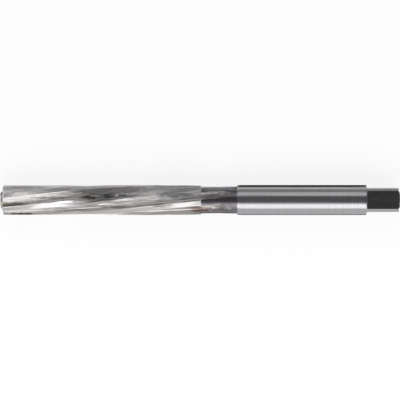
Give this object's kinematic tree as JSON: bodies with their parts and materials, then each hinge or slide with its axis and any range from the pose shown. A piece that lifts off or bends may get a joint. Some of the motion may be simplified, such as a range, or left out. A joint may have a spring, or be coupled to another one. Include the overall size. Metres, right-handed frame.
{
  "type": "hand reamer",
  "caption": "Hand reamer with a slow left-hand spiral of relieved teeth, a necked run-out, a ground cylindrical shank and a milled drive square.",
  "frame": {"origin": "on the tool's axis, at the shoulder where the round shank meets the drive square", "axes": "+X along the axis from the cutting tip towards the drive square, +Z out of one flat of the square, -Y out of the next flat"},
  "size_m": [0.133, 0.01, 0.01],
  "materials": {
    "high_speed_steel": "ground bright on the teeth and shank, dark from heat treatment on the neck and the square's flats"
  },
  "bodies": {
    "root": {"hand_reamer": "high_speed_steel"}
  },
  "joints": []
}
